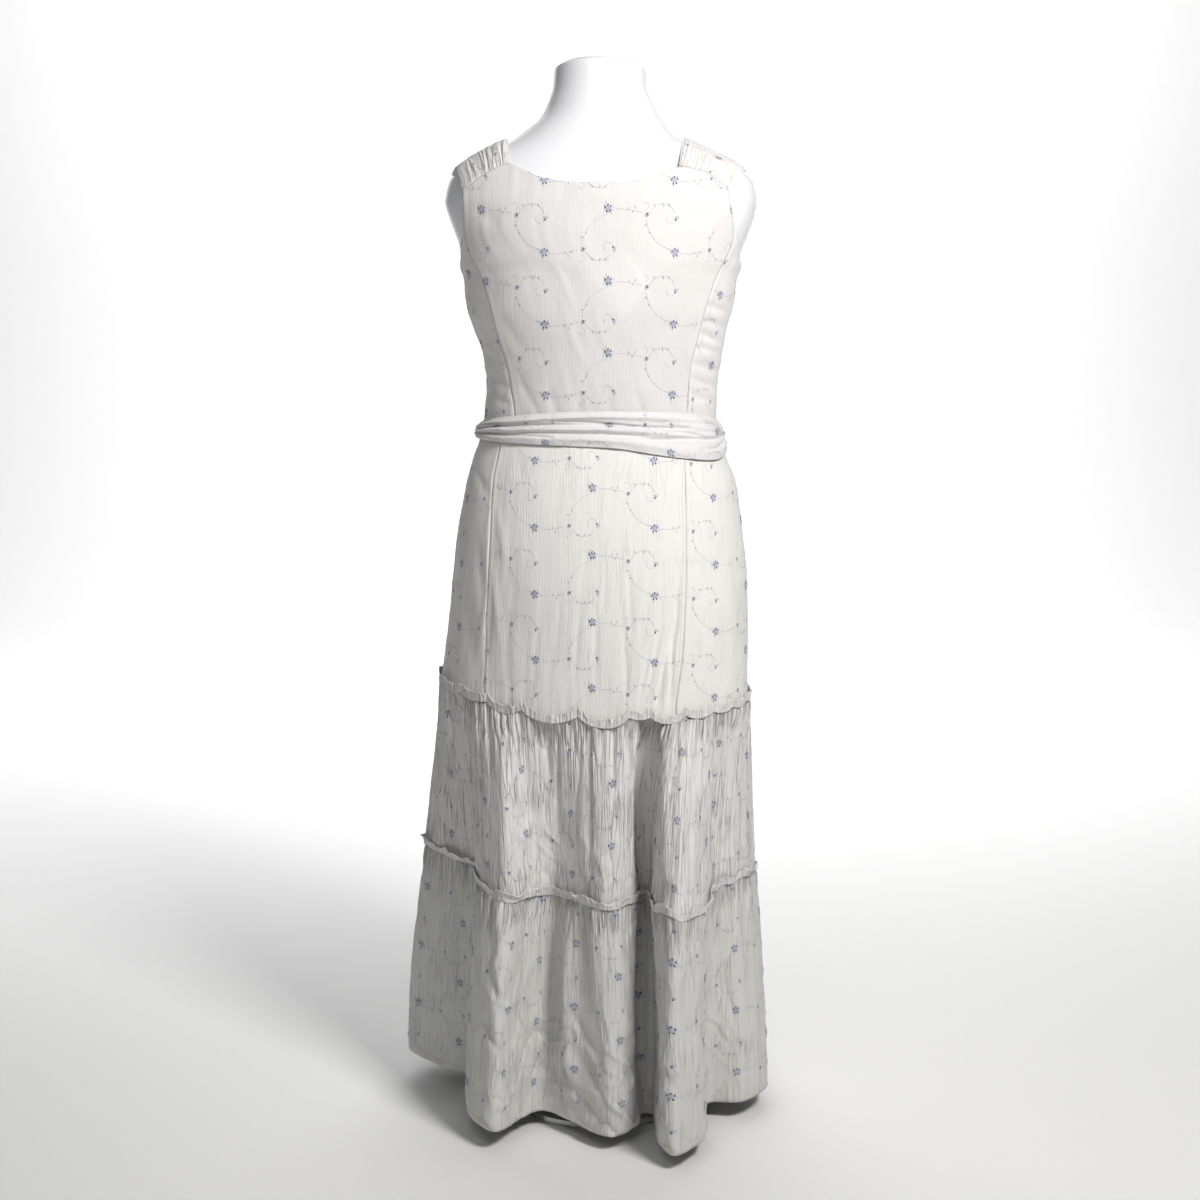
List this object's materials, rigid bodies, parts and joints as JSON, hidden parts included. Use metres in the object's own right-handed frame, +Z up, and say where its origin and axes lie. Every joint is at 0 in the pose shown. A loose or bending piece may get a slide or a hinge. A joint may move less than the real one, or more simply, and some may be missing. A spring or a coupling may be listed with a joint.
{
  "type": "maxi dress on dress form",
  "caption": "Sleeveless three-tier crinkle-gauze maxi dress with a sash, worn by a smooth limbless dress form on a pole and round base.",
  "frame": {"origin": "middle of the round base's underside, on the floor", "axes": "+Z up along the pole, -Y towards the side of the dress that the picture shows (its back), +X to the right of that view"},
  "size_m": [0.4603, 0.444, 1.2833],
  "materials": {
    "gauze": "matte",
    "sash": "matte",
    "form_gloss": "gloss",
    "stand_steel": "satin"
  },
  "bodies": {
    "root": {"bodice_back_centre": "gauze", "bodice_back_side_left": "gauze", "bodice_back_side_right": "gauze", "bodice_front_centre": "gauze", "bodice_front_side_left": "gauze", "bodice_front_side_right": "gauze", "shoulder_left": "gauze", "shoulder_right": "gauze", "sash_back": "sash", "sash_front": "sash", "hip_back_centre": "gauze", "hip_back_side_left": "gauze", "hip_back_side_right": "gauze", "hip_front": "gauze", "tier_one_back": "gauze", "tier_one_front": "gauze", "tier_two_back": "gauze", "tier_two_front": "gauze", "heading_one_back": "gauze", "heading_one_front": "gauze", "heading_two_back": "gauze", "heading_two_front": "gauze", "form_body": "form_gloss", "stand_pole": "stand_steel", "stand_base": "stand_steel"}
  },
  "joints": []
}
